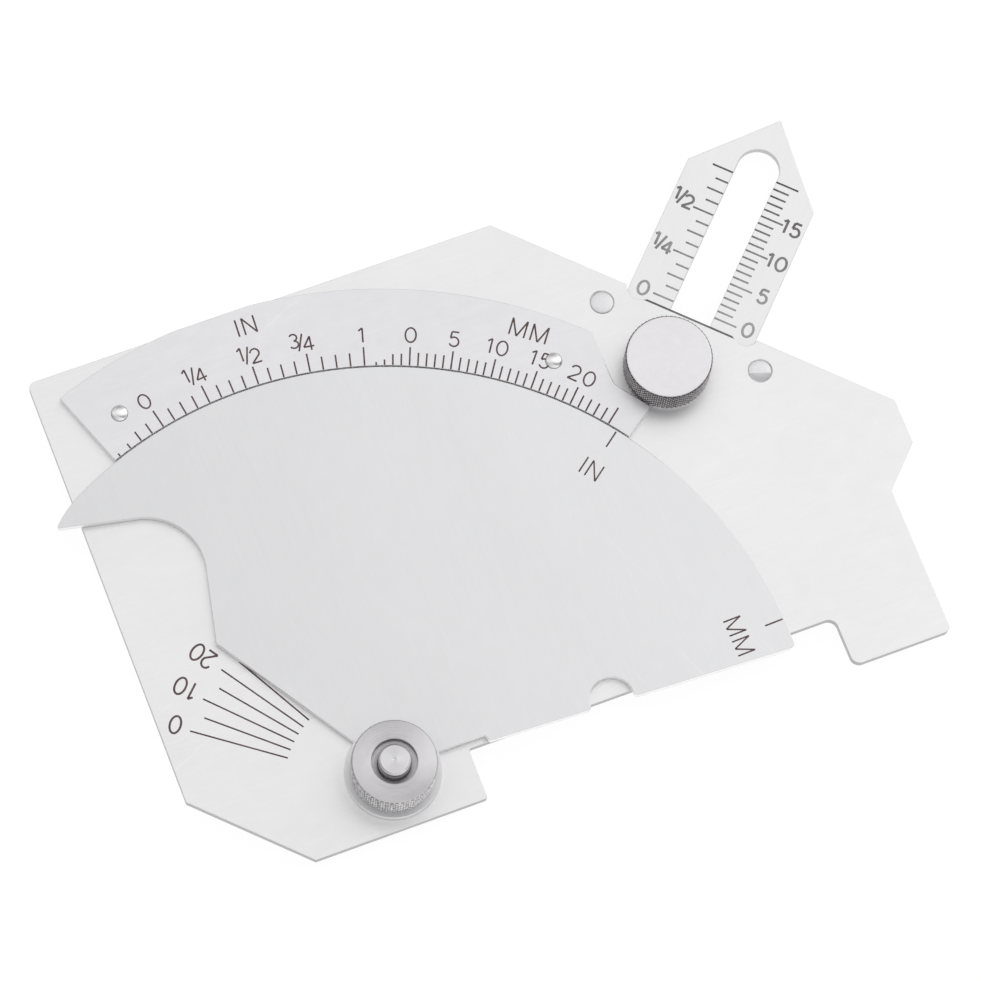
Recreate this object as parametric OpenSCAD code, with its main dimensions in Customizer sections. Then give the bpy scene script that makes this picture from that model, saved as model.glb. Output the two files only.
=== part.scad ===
// Cam type weld gauge: a flat plate with two feet, a pointer cam that turns
// against a curved scale, and a pointed slide that runs out at 45 degrees.
// Millimetres. The plate lies flat, front face up, feet towards -Y.

/* [Main plate] */
// Width from the left edge to the ear on the right
plate_w = 99.9; // [98:0.1:104]
// Thickness of the main plate
plate_t = 1.2; // [0.8:0.1:2]
// How far the top edge cuts into the curve of the scale band
top_in = 0.2; // [0.1:0.1:0.8]
// Length of the top edge, up to the 45 degree edge
top_edge_l = 61.1; // [59:0.1:63]
// How far the ear stands out from the right edge
ear_out = 4.9; // [3:0.1:6]
// Length of the ear's upright edge
ear_l = 5.8; // [4:0.1:8]
// Leg of the 45 degree cut at the lower left corner
corner_cut = 12.1; // [9:0.1:14]
// Distance from the left edge to the bridge gap
bridge_x = 34.2; // [32.5:0.1:37]
// Width of the gap between the feet
bridge_w = 47.9; // [43:0.1:50]
// Height of the gap between the feet
bridge_h = 6.5; // [5:0.1:7]
// Radius at the outer corners of the plate
corner_r = 0.9; // [0.4:0.1:1.5]
// Radius at the corners of the right foot
foot_r = 1.2; // [0.5:0.1:2]
// Radius at the corners of the left foot
heel_r = 0.4; // [0.2:0.1:1]

/* [Pivot] */
// Pivot's distance from the left edge
pivot_x = 24.6; // [23.5:0.1:24.8]
// Pivot's height above the feet
pivot_y = 6.9; // [6.6:0.1:7.3]
// Diameter of the stud's shoulder, which carries the cam
shoulder_d = 5; // [4.6:0.1:6]
// Diameter of the stud's threaded end
stud_d = 4; // [3:0.1:4.4]
// Diameter of the stud's head behind the plate
stud_head_d = 9; // [8:0.1:10]
// How far the stud stands out of the lock nut
stud_proud = 0.9; // [0.3:0.1:2]
// Outside diameter of the lock nut
nut_d = 10.5; // [9:0.1:11.5]
// Height of the lock nut
nut_h = 4.2; // [3:0.1:6]
// Diameter of the countersink in the nut's face
nut_sink_d = 5.6; // [5:0.1:7]

/* [Cam] */
// Radius of the cam's rim
rim_r = 51.5; // [51.3:0.1:52.2]
// Thickness of the cam
cam_t = 1; // [0.6:0.1:1.6]
// Radius of the cam's round end about the pivot
boss_r = 5.9; // [5.4:0.1:7]
// How far the pointer reaches past the plate's left edge
pointer_out = 2.8; // [2:0.1:3]
// Slope of the pointer's underside
pointer_slope = 11.8; // [8:0.1:13]
// Polar angle at which the rim starts to round off towards the pointer
nose_a = 117; // [116.5:0.5:119]
// Radius of the rounded rim at the pointer
nose_r = 15; // [12:0.5:20]
// Inner corner of the pointer, left of the pivot
hook_x = 10.6; // [9:0.1:12]
// Inner corner of the pointer, above the pivot
hook_y = 39.1; // [38:0.1:39.5]
// Fillet in the pointer's inner corner
hook_r = 7.5; // [4:0.1:9]
// Distance from the pivot to the outer end of the angle edge
fan_l = 26.6; // [25:0.1:28]
// Polar angle of the angle edge, which points at the pivot
fan_a = 122.9; // [121:0.1:124]
// Slope of the cam's lower edge, down to the right
heel_slope = 2.75; // [1:0.05:4]
// Distance from the pivot to the end of the relief beside the boss
relief_l = 12.3; // [10:0.1:16]
// Depth of that relief
relief_d = 0.9; // [0.4:0.1:1.5]
// Distance from the pivot to the finger notch
finger_x = 28; // [24:0.1:34]
// Radius of the finger notch
finger_r = 2.75; // [2:0.05:3.5]
// How far the notch's centre lies inside the lower edge
finger_in = 0.55; // [0.2:0.05:1]
// Radius where the notch meets the lower edge
finger_round = 0.5; // [0.2:0.1:0.8]
// Radius at the lower right corner of the cam
cam_corner_r = 0.7; // [0.3:0.1:1.5]

/* [Scale band] */
// Width of the scale band
band_w = 10.3; // [9.5:0.1:11]
// How far left of the pivot the centre of the band's outer curve lies
band_off = 0.7; // [0.3:0.1:1]
// Thickness of the scale band
band_t = 1; // [0.6:0.1:1.6]
// Polar angle of the band's left end
band_left_a = 110.3; // [108:0.1:111]
// Polar angle of the band's right end
band_right_a = 35; // [33:0.1:37]
// Fillet in the step that clears the knob
step_r = 3; // [1.5:0.1:3.5]
// Diameter of the band's rivets
band_rivet_d = 2; // [1.6:0.1:2.4]
// Distance of the rivets from the band's inner edge
band_rivet_in = 4.45; // [3:0.05:5]
// Polar angles of the rivets, left and right
band_rivet_left_a = 105.9; // [104:0.1:107]
band_rivet_right_a = 48.5; // [47:0.1:50]

/* [Slide] */
// Width of the slide
slide_w = 17.2; // [15.5:0.1:18]
// Thickness of the slide
slide_t = 1; // [0.6:0.1:1.6]
// Length of the slide's point
point_l = 9.7; // [7:0.1:12]
// Width of the slot
slot_w = 5.4; // [5:0.1:6.5]
// Distance from the point to the end of the slot
slot_end = 4.6; // [4.5:0.1:8]
// Length of the slide behind the slot
tail_l = 9; // [6:0.1:12]
// How far the slide stands past its zero
slide_out = 1.5; // [0:0.1:3]
// Spare slot length behind the thumb screw
slot_spare = 1.6; // [1.2:0.1:3]
// Depth of the notch in the plate's 45 degree edge
notch_in = 0.6; // [0.3:0.1:1]
// Radius of the round pockets at the notch's ends
pocket_r = 1.65; // [1.2:0.05:2]
// How far the pockets' centres lie outside the 45 degree edge
pocket_out = 0.3; // [0:0.05:0.6]
// Distance from a pocket's centre to the slide's edge
pocket_edge = 1.4; // [1:0.1:2]

/* [Keeper and thumb screw] */
// Thickness of the keeper behind the slide
keeper_web = 1.2; // [0.8:0.1:2]
// Width of the keeper along the slide
keeper_w = 11; // [10:0.1:13]
// Distance from the notch to the keeper's front edge
keeper_in = 0.8; // [0.4:0.1:1.2]
// Distance from the notch to the keeper's rivets
keeper_rivet_in = 2.9; // [2.6:0.1:3.2]
// Distance from the slide's edge to a rivet's centre
keeper_rivet_edge = 2.1; // [1.8:0.1:2.6]
// Distance from a rivet's centre to the keeper's end
keeper_end = 2.6; // [2:0.1:3.2]
// Shank diameter of the keeper's rivets
keeper_rivet_d = 2.2; // [1.8:0.1:2.6]
// Diameter of the rivets' flush heads
keeper_head_d = 3.1; // [2.9:0.1:3.4]
// Distance from the notch to the thumb screw
screw_in = 7.5; // [7.2:0.1:8]
// Shank diameter of the thumb screw
screw_d = 4; // [3:0.1:4.4]
// Diameter of the knob
knob_d = 10.9; // [10:0.1:11.6]
// Height of the knob
knob_h = 4.2; // [3:0.1:6]

/* [Clearances] */
// Gap between flat faces that slide on each other
face_gap = 0.05; // [0.03:0.01:0.1]
// Radial clearance of shafts that turn
run_gap = 0.05; // [0.02:0.01:0.1]
// Radial clearance of riveted and pressed shanks
seat_gap = 0.02; // [0.01:0.01:0.05]
// Gap between the cam's rim and the scale band
rim_gap = 0.2; // [0.1:0.05:0.3]
// Gap at each edge of the slide
edge_gap = 0.1; // [0.05:0.01:0.2]
// Radial clearance of the thumb screw in the plate
hole_gap = 0.25; // [0.15:0.05:0.4]
// Gap between the knob and the tongue of the scale band
tongue_gap = 0.2; // [0.2:0.05:0.8]
// Gap between the knob and the step of the scale band
step_gap = 1.65; // [1:0.05:2]
// Chamfer on turned edges
edge_break = 0.3; // [0.1:0.05:0.4]

/* [Hidden] */
$fn = 96;
steel = [0.88, 0.88, 0.88];
cam_steel = [0.82, 0.82, 0.83];
turned_steel = [0.74, 0.74, 0.75];

// Heights, from the surface that the gauge lies on
keeper_h = slide_t + 2 * face_gap + keeper_web;
plate_z = keeper_h;
front_z = plate_z + plate_t;
slide_z = keeper_web + face_gap;
cam_z = front_z + face_gap;
nut_z = cam_z + cam_t + face_gap;
nut_top = nut_z + nut_h;
knob_z = front_z + face_gap;

// The scale band lies round the cam's rim, and the top edge of the plate trims it
band_in_r = rim_r + rim_gap;
band_r = band_in_r + band_w;
band_rivet_r = band_in_r + band_rivet_in;
plate_h = pivot_y + band_r - top_in;

// The right edge below the ear, and the corner that the slide points at
right_x = plate_w - ear_out;
edge_leg = plate_w - top_edge_l;
ear_top = plate_h - edge_leg;
vee_y = ear_top - ear_l - ear_out;

// Places along the slide's axis, from that corner, outwards positive
edge_u = -edge_leg / sqrt(2);
notch_u = edge_u - notch_in;
rivet_u = notch_u - keeper_rivet_in;
screw_u = notch_u - screw_in;
keeper_u = notch_u - keeper_in - keeper_w;
slot_back_u = screw_u - screw_d / 2 - slot_spare;
rivet_v = slide_w / 2 + keeper_rivet_edge;
pocket_v = slide_w / 2 - pocket_edge;
keeper_v = rivet_v + keeper_end;

// The thumb screw seen from the pivot, and what it leaves of the band
screw_x = plate_w - pivot_x + screw_u / sqrt(2);
screw_y = plate_h - pivot_y + screw_u / sqrt(2);
tongue_r = norm([screw_x, screw_y]) - knob_d / 2 - tongue_gap;
step_x = screw_x - knob_d / 2 - step_gap;

// Heads of the band's rivets: the dome in front and the countersunk end behind
band_dome_h = band_rivet_d / 5;
band_tail_d = 1.5 * band_rivet_d;

// Reach of cutting shapes: past everything, past a face, over an edge, into an edge
far = 2 * rim_r;
past = 1;
lap = 0.05;
bite = 0.01;

// The middle of the gauge, between the pointer and the slide's point
middle_x = (plate_w + slide_out / sqrt(2) - pointer_out) / 2;
middle_y = (plate_h + slide_out / sqrt(2)) / 2;

function dir(a) = [cos(a), sin(a)];
function unit(v) = v / norm(v);
function angle(v) = atan2(v[1], v[0]);
// Height of the cam's lower edge at a distance x to the right of the pivot
function heel_y(x) = -x * tan(heel_slope);

// The corner piece between a circle and its tangents at two polar angles. It laps over the
// tangents, and the circle bites into them, so that edges cross clearly and never just touch
module spandrel(centre, r, a, b) {
    difference() {
        polygon([
            centre,
            centre + (r + lap) * dir(a),
            centre + (r + lap) * (dir(a) + dir(b)) / (1 + dir(a) * dir(b)),
            centre + (r + lap) * dir(b)
        ]);
        translate(centre) circle(r + bite);
    }
}

// The same at the corner p between its neighbours q and s
module corner_piece(q, p, s, r) {
    to_q = unit(q - p);
    to_s = unit(s - p);
    half = acos(to_q * to_s) / 2;
    centre = p + unit(to_q + to_s) * r / sin(half);
    spandrel(centre, r, angle(p + to_q * r / tan(half) - centre), angle(p + to_s * r / tan(half) - centre));
}

// A polygon of [point, radius] corners, counter-clockwise, with true arcs at the corners that stand out
module rounded_outline(corners) {
    n = len(corners);
    points = [for (c = corners) c[0]];
    difference() {
        polygon(points);
        for (i = [0 : n - 1])
            if (corners[i][1] > 0)
                corner_piece(points[(i + n - 1) % n], points[i], points[(i + 1) % n], corners[i][1]);
    }
}

module centred() { translate([-middle_x, -middle_y, 0]) children(); }
module at_pivot() { translate([pivot_x, pivot_y, 0]) children(); }
module at_slide() { translate([plate_w, plate_h, 0]) rotate(45) children(); }

// Gap between the feet, with the rounds at the feet's inner corners
module bridge_gap() {
    right = bridge_x + bridge_w;
    rounded_outline([
        [[bridge_x, -bridge_h], 0],
        [[right, -bridge_h], 0],
        [[right, bridge_h], foot_r],
        [[bridge_x, bridge_h], heel_r]
    ]);
    corner_piece([corner_cut, 0], [bridge_x, 0], [bridge_x, bridge_h], heel_r);
    corner_piece([right, bridge_h], [right, 0], [right_x, 0], foot_r);
}

module plate_outline() {
    difference() {
        rounded_outline([
            [[0, corner_cut], 0],
            [[corner_cut, 0], 0],
            [[right_x, 0], corner_r],
            [[right_x, vee_y], 0],
            [[plate_w, vee_y + ear_out], 0],
            [[plate_w, ear_top], 0],
            [[top_edge_l, plate_h], 0],
            [[0, plate_h], corner_r]
        ]);
        bridge_gap();
    }
}

// Cut in the 45 degree edge that uncovers the slide's zero marks
module slide_notch() {
    translate([notch_u, -pocket_v]) square([notch_in + pocket_r, 2 * pocket_v]);
    for (side = [-1, 1])
        translate([edge_u + pocket_out, side * pocket_v]) circle(pocket_r);
}

// Countersunk hole or rivet of one axis: shank with a cone at one or both ends
module countersunk(z0, z1, d, head_d, front, back) {
    cone = (head_d - d) / 2;
    translate([0, 0, z0]) cylinder(d = d, h = z1 - z0);
    if (front)
        translate([0, 0, z1 - cone]) cylinder(d1 = d, d2 = head_d, h = cone);
    if (back)
        translate([0, 0, z0]) cylinder(d1 = head_d, d2 = d, h = cone);
}

module at_band_rivet(a) { at_pivot() translate(band_rivet_r * dir(a)) children(); }
module at_keeper_rivet(side) { at_slide() translate([rivet_u, side * rivet_v]) children(); }

// Rivet bodies, grown by a gap where they are cut out of the plates
module band_rivet_body(gap) {
    countersunk(plate_z, front_z + band_t, band_rivet_d + 2 * gap, band_tail_d + 2 * gap, false, true);
}

module keeper_rivet_body(gap) {
    countersunk(0, front_z, keeper_rivet_d + 2 * gap, keeper_head_d + 2 * gap, true, true);
}

module main_plate() {
    color(steel) centred() difference() {
        translate([0, 0, plate_z]) linear_extrude(plate_t) difference() {
            plate_outline();
            at_slide() slide_notch();
            at_slide() translate([screw_u, 0]) circle(screw_d / 2 + hole_gap);
            at_pivot() circle(shoulder_d / 2 + seat_gap);
        }
        for (a = [band_rivet_left_a, band_rivet_right_a])
            at_band_rivet(a) band_rivet_body(seat_gap);
        for (side = [-1, 1])
            at_keeper_rivet(side) keeper_rivet_body(seat_gap);
    }
}

// Ring sector between the band's ends, about the pivot
module band_sector() {
    intersection() {
        difference() {
            translate([-band_off, 0]) circle(band_r, $fn = 180);
            circle(band_in_r, $fn = 180);
        }
        polygon([
            [0, 0],
            far * dir(band_right_a),
            far * dir((band_right_a + band_left_a) / 2),
            far * dir(band_left_a)
        ]);
    }
}

// Space for the knob, cut from the band's outer edge
module band_step() {
    step_centre = [step_x + step_r, sqrt((tongue_r + step_r) ^ 2 - (step_x + step_r) ^ 2)];
    difference() {
        translate([step_x, 0]) square([far, far]);
        circle(tongue_r, $fn = 180);
        spandrel(step_centre, step_r, 180, 180 + angle(step_centre));
    }
}

module scale_band() {
    color(steel) centred() difference() {
        translate([0, 0, front_z]) linear_extrude(band_t) intersection() {
            at_pivot() difference() {
                band_sector();
                band_step();
            }
            plate_outline();
        }
        for (a = [band_rivet_left_a, band_rivet_right_a])
            at_band_rivet(a) band_rivet_body(seat_gap);
    }
}

// Rivet with a low dome in front and a countersunk end behind
module band_rivet(a) {
    dome_r = (band_rivet_d ^ 2 / 4 + band_dome_h ^ 2) / (2 * band_dome_h);
    color(turned_steel) centred() at_band_rivet(a) {
        band_rivet_body(0);
        translate([0, 0, front_z + band_t + band_dome_h - dome_r]) intersection() {
            sphere(dome_r);
            translate([0, 0, dome_r - band_dome_h]) cylinder(d = band_rivet_d, h = 2 * band_dome_h);
        }
    }
}

module band_rivet_left() { band_rivet(band_rivet_left_a); }
module band_rivet_right() { band_rivet(band_rivet_right_a); }

// Space below the pointer and beside the angle edge
module hook_space() {
    hook = [-hook_x, hook_y];
    fan = fan_l * dir(fan_a);
    under = [-far, hook_y + (far - hook_x) * tan(pointer_slope)];
    difference() {
        polygon([hook, under, [-far, -far], [0, 0], fan]);
        corner_piece(under, hook, fan, hook_r);
    }
}

// Space below the cam's lower edge, with the relief beside the boss
module heel_space() {
    polygon([
        [-far, -far],
        [far, -far],
        [far, heel_y(far)],
        [relief_l, heel_y(relief_l)],
        [relief_l - relief_d / 2, heel_y(relief_l) + relief_d],
        [-far, heel_y(relief_l) + relief_d]
    ]);
}

// What the rim loses at the pointer: the rounded nose and the blunt tip
module nose_cut() {
    nose = (rim_r - nose_r) * dir(nose_a);
    difference() {
        polygon([nose, nose + far * dir(nose_a), far * dir(nose_a + 45), nose + far * dir(nose_a + 90)]);
        translate(nose) circle(nose_r + bite, $fn = 180);
    }
    translate([-far, 0]) square([far - pivot_x - pointer_out, far]);
}

// Round at the lower right corner, between the rim and the lower edge
module cam_corner() {
    along = sqrt((rim_r - cam_corner_r) ^ 2 - cam_corner_r ^ 2);
    centre = along * dir(-heel_slope) + cam_corner_r * dir(90 - heel_slope);
    spandrel(centre, cam_corner_r, -90 - heel_slope, angle(centre));
}

// Finger notch in an edge along X, with rounds where it meets the edge
module finger_notch() {
    translate([0, finger_in]) circle(finger_r);
    for (side = [-1, 1]) {
        centre = [side * sqrt((finger_r + finger_round) ^ 2 - (finger_round - finger_in) ^ 2), finger_round];
        inwards = unit([0, finger_in] - centre);
        difference() {
            polygon([
                centre,
                [centre[0], -lap],
                [centre[0] - side * (finger_round + past / 2), -lap],
                centre + (finger_round + past / 2) * inwards
            ]);
            translate(centre) circle(finger_round + bite);
        }
    }
}

module cam_plate() {
    color(cam_steel) centred() at_pivot() translate([0, 0, cam_z]) linear_extrude(cam_t) difference() {
        union() {
            difference() {
                circle(rim_r, $fn = 180);
                heel_space();
                hook_space();
                nose_cut();
                cam_corner();
                translate([finger_x, heel_y(finger_x)]) rotate(-heel_slope) finger_notch();
            }
            circle(boss_r);
        }
        circle(shoulder_d / 2 + run_gap);
    }
}

// Solid of revolution with chamfered ends: [radius, z0, z1] steps from the bottom up
module turned(steps, bottom, top) {
    last = len(steps) - 1;
    rotate_extrude() polygon(concat(
        [[0, steps[0][1]], [steps[0][0] - bottom, steps[0][1]]],
        [for (i = [0 : last]) each [
            [steps[i][0], steps[i][1] + (i == 0 ? bottom : 0)],
            [steps[i][0], steps[i][2] - (i == last ? top : 0)]
        ]],
        [[steps[last][0] - top, steps[last][2]], [0, steps[last][2]]]
    ));
}

module pivot_stud() {
    shoulder_top = cam_z + cam_t - face_gap;
    color(turned_steel) centred() at_pivot() turned([
        [stud_head_d / 2, 0, plate_z],
        [shoulder_d / 2, plate_z, shoulder_top],
        [stud_d / 2, shoulder_top, nut_top + stud_proud]
    ], edge_break, edge_break);
}

module lock_nut() {
    bore_r = stud_d / 2 + run_gap;
    sink = nut_sink_d / 2 - bore_r;
    color(turned_steel) centred() at_pivot() difference() {
        turned([[nut_d / 2, nut_z, nut_top]], edge_break, edge_break);
        translate([0, 0, nut_z - face_gap]) cylinder(r = bore_r, h = nut_h + 2 * face_gap);
        translate([0, 0, nut_top - sink]) cylinder(r1 = bore_r, r2 = nut_sink_d / 2, h = sink);
    }
}

module slide_slot() {
    front_u = slide_out - slot_end - slot_w / 2;
    back_u = slot_back_u + slot_w / 2;
    translate([back_u, -slot_w / 2]) square([front_u - back_u, slot_w]);
    for (u = [front_u, back_u])
        translate([u, 0]) circle(d = slot_w);
}

module throat_slide() {
    back_u = slot_back_u - tail_l;
    shoulder_u = slide_out - point_l;
    color(steel) centred() at_slide() translate([0, 0, slide_z]) linear_extrude(slide_t) difference() {
        polygon([
            [slide_out, 0],
            [shoulder_u, slide_w / 2],
            [back_u, slide_w / 2],
            [back_u, -slide_w / 2],
            [shoulder_u, -slide_w / 2]
        ]);
        slide_slot();
    }
}

module slide_keeper() {
    channel_w = slide_w + 2 * edge_gap;
    color(steel) centred() difference() {
        at_slide() difference() {
            translate([keeper_u, -keeper_v, 0]) cube([keeper_w, 2 * keeper_v, keeper_h]);
            translate([keeper_u - past, -channel_w / 2, keeper_web]) cube([keeper_w + 2 * past, channel_w, keeper_h]);
            translate([screw_u, 0, -past]) cylinder(r = screw_d / 2 + run_gap, h = keeper_h + 2 * past);
        }
        for (side = [-1, 1])
            at_keeper_rivet(side) keeper_rivet_body(seat_gap);
    }
}

module keeper_rivet(side) { color(turned_steel) centred() at_keeper_rivet(side) keeper_rivet_body(0); }
module keeper_rivet_left() { keeper_rivet(1); }
module keeper_rivet_right() { keeper_rivet(-1); }

module thumb_screw() {
    color(turned_steel) centred() at_slide() translate([screw_u, 0, 0]) turned([
        [screw_d / 2, edge_break, knob_z],
        [knob_d / 2, knob_z, knob_z + knob_h]
    ], edge_break, edge_break);
}

main_plate();
scale_band();
band_rivet_left();
band_rivet_right();
cam_plate();
pivot_stud();
lock_nut();
throat_slide();
slide_keeper();
keeper_rivet_left();
keeper_rivet_right();
thumb_screw();
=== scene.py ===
"""Visual model of a cam weld gauge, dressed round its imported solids.

Sizes inside the classes are millimetres in the part's own frame.
A piece becomes metres when it is published.
"""

from __future__ import annotations

import logging
import math
from dataclasses import dataclass, field
from enum import Enum
from typing import Sequence

import bmesh
import bpy
from mathutils import Matrix, Vector

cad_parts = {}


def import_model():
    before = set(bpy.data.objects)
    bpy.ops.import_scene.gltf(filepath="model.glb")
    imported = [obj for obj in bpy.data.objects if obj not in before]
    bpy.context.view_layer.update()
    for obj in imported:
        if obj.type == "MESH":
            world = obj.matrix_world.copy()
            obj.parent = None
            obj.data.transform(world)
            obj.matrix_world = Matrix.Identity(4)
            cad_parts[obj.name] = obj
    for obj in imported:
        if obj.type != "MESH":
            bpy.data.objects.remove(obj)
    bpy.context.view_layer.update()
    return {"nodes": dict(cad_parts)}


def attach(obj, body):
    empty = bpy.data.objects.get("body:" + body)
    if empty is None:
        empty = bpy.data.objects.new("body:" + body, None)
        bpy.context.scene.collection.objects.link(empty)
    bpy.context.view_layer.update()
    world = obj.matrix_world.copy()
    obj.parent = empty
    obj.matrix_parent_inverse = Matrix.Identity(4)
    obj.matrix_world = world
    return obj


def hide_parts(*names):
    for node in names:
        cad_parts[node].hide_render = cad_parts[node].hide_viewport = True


LOG = logging.getLogger("weld_gauge")
MM = 0.001
SIXTEENTH = 25.4 / 16.0
ORIGIN = Vector((0.0, 0.0))

# Distance within which points become one
WELD = 0.0005

# Distance within which a cut takes a point that is there
SNAP = 0.0001

# Least height of a level face's normal
FLAT = 0.99

Colour = tuple[float, float, float]
Points = list[tuple[float, float]]
Offsets = tuple[tuple[float, float], ...]
Labels = tuple[tuple[str, float], ...]


class Body(Enum):
    """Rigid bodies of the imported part."""

    PLATE = "gauge_plate"
    CAM = "cam"
    NUT = "nut"
    SLIDE = "slide"
    SCREW = "screw"


class Slot(Enum):
    """Material slots of the record."""

    PLATE = "plate_steel"
    CAM = "cam_steel"
    TURNED = "turned_steel"
    RIVET = "rivet_steel"


# Shader helpers


class Value:
    """A number socket of a shader, on which Python arithmetic adds Math nodes."""

    def __init__(self, shader: Shader, socket: bpy.types.NodeSocket) -> None:
        """Wraps an output socket with a number."""
        self.shader = shader
        self.socket = socket

    def __add__(self, other: Value | float) -> Value:
        """Sum."""
        return self.shader.math("ADD", self, other)

    def __radd__(self, other: Value | float) -> Value:
        """Sum, reflected."""
        return self.shader.math("ADD", other, self)

    def __sub__(self, other: Value | float) -> Value:
        """Difference."""
        return self.shader.math("SUBTRACT", self, other)

    def __rsub__(self, other: Value | float) -> Value:
        """Difference, reflected."""
        return self.shader.math("SUBTRACT", other, self)

    def __mul__(self, other: Value | float) -> Value:
        """Product."""
        return self.shader.math("MULTIPLY", self, other)

    def __truediv__(self, other: Value | float) -> Value:
        """Quotient."""
        return self.shader.math("DIVIDE", self, other)

    def __abs__(self) -> Value:
        """Size without the sign."""
        return self.shader.math("ABSOLUTE", self, 0.0)

    def sine(self) -> Value:
        """Sine of a value in radians."""
        return self.shader.math("SINE", self, 0.0)

    def clamp(self) -> Value:
        """Value held between 0 and 1."""
        return self.shader.math("ADD", self, 0.0, clamp=True)

    def swing(self, amount: float) -> Value:
        """Noise from 0 to 1 turned into a swing about 0 of this width."""
        return (self - 0.5) * amount


class Shader:
    """Node tree of one material or of the world, with one method for all its nodes."""

    WALL_TILT = 0.25
    TILT_RANGE = 0.5

    def __init__(self, tree: bpy.types.NodeTree) -> None:
        """Starts from an empty tree, of a material or of the world."""
        self.tree = tree
        self.tree.nodes.clear()

    def node(self, kind: str, settings: dict | None = None, inputs: dict | None = None) -> bpy.types.Node:
        """Adds a node.

        Args:
            kind: Node type.
            settings: Attributes that are set first.
            inputs: Values or links by socket name or number.

        Returns:
            The node.
        """
        made = self.tree.nodes.new(kind)
        for key, value in (settings or {}).items():
            setattr(made, key, value)
        for key, value in (inputs or {}).items():
            socket = made.inputs[key]
            if isinstance(value, Value):
                self.tree.links.new(value.socket, socket)
            elif isinstance(value, bpy.types.NodeSocket):
                self.tree.links.new(value, socket)
            else:
                socket.default_value = value
        return made

    def math(self, operation: str, a: Value | float, b: Value | float, clamp: bool = False) -> Value:
        """Adds a Math node, which can hold its result between 0 and 1."""
        made = self.node("ShaderNodeMath", {"operation": operation, "use_clamp": clamp}, {0: a, 1: b})
        return Value(self, made.outputs[0])

    def measure(self, operation: str, inputs: dict) -> Value:
        """Adds a Vector Math node whose result is a number."""
        made = self.node("ShaderNodeVectorMath", {"operation": operation}, inputs)
        return Value(self, made.outputs["Value"])

    def axis(self, vector: bpy.types.NodeSocket, number: int) -> Value:
        """One of a vector's three numbers."""
        return Value(self, self.node("ShaderNodeSeparateXYZ", inputs={0: vector}).outputs[number])

    def blend(self, factor: Value, a: Colour, b: Colour) -> bpy.types.NodeSocket:
        """Mixes two colours, from a at 0 to b at 1."""
        colours = {0: factor, 6: (*a, 1.0), 7: (*b, 1.0)}
        return self.node("ShaderNodeMix", {"data_type": "RGBA"}, colours).outputs[2]

    def tone(self, colour: Colour | bpy.types.NodeSocket, value: Value) -> bpy.types.NodeSocket:
        """Multiplies a colour by a number that varies over the surface."""
        made = self.node("ShaderNodeVectorMath", {"operation": "SCALE"}, {0: colour, "Scale": value})
        return made.outputs[0]

    def place(self, turn: float = 0.0, centre: Vector = ORIGIN) -> bpy.types.NodeSocket:
        """Object coordinates in millimetres, turned and centred.

        Args:
            turn: Turn about Z in degrees.
            centre: Point that becomes the origin.

        Returns:
            The coordinates' socket.
        """
        made = self.node("ShaderNodeTexCoord").outputs["Object"]
        shift = (-centre.x, -centre.y, 0.0)
        moved = self.node("ShaderNodeMapping", inputs={0: made, "Location": shift, "Scale": (1 / MM,) * 3})
        spin = (0.0, 0.0, math.radians(-turn))
        return self.node("ShaderNodeMapping", inputs={0: moved.outputs[0], "Rotation": spin}).outputs[0]

    def noise(self, place: bpy.types.NodeSocket, scale: Sequence[float], detail: float) -> Value:
        """Noise over a place, from about 0 to 1.

        Args:
            place: Coordinates in millimetres.
            scale: Waves per millimetre along each axis.
            detail: Octaves.

        Returns:
            The noise.
        """
        stretched = self.node("ShaderNodeMapping", inputs={0: place, "Scale": tuple(scale)})
        waves = {"Vector": stretched.outputs[0], "Scale": 1.0, "Detail": detail}
        return Value(self, self.node("ShaderNodeTexNoise", inputs=waves).outputs[0])

    def upright(self) -> Value:
        """1 on walls, 0 on faces that lie flat."""
        tilt = abs(self.axis(self.node("ShaderNodeTexCoord").outputs["Normal"], 2))
        return 1.0 - ((tilt - self.WALL_TILT) / self.TILT_RANGE).clamp()

    def bump(self, height: Value, depth: float) -> bpy.types.NodeSocket:
        """Surface normal with a relief from 0 to 1, whose depth is in millimetres."""
        relief = {"Strength": 1.0, "Distance": depth * MM, "Height": height}
        return self.node("ShaderNodeBump", inputs=relief).outputs[0]

    def surface(self, **inputs: object) -> None:
        """Ends the tree in a Principled shader.

        Args:
            **inputs: Socket values, with underscores for spaces.
        """
        named = {key.replace("_", " "): value for key, value in inputs.items()}
        shader = self.node("ShaderNodeBsdfPrincipled", inputs=named)
        self.node("ShaderNodeOutputMaterial", inputs={"Surface": shader.outputs[0]})


def new_shader(name: str) -> tuple[bpy.types.Material, Shader]:
    """Makes an empty material.

    Args:
        name: Name of the material.

    Returns:
        The material and its shader.
    """
    material = bpy.data.materials.new(name)
    material.use_nodes = True
    return material, Shader(material.node_tree)


# Finishes


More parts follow.
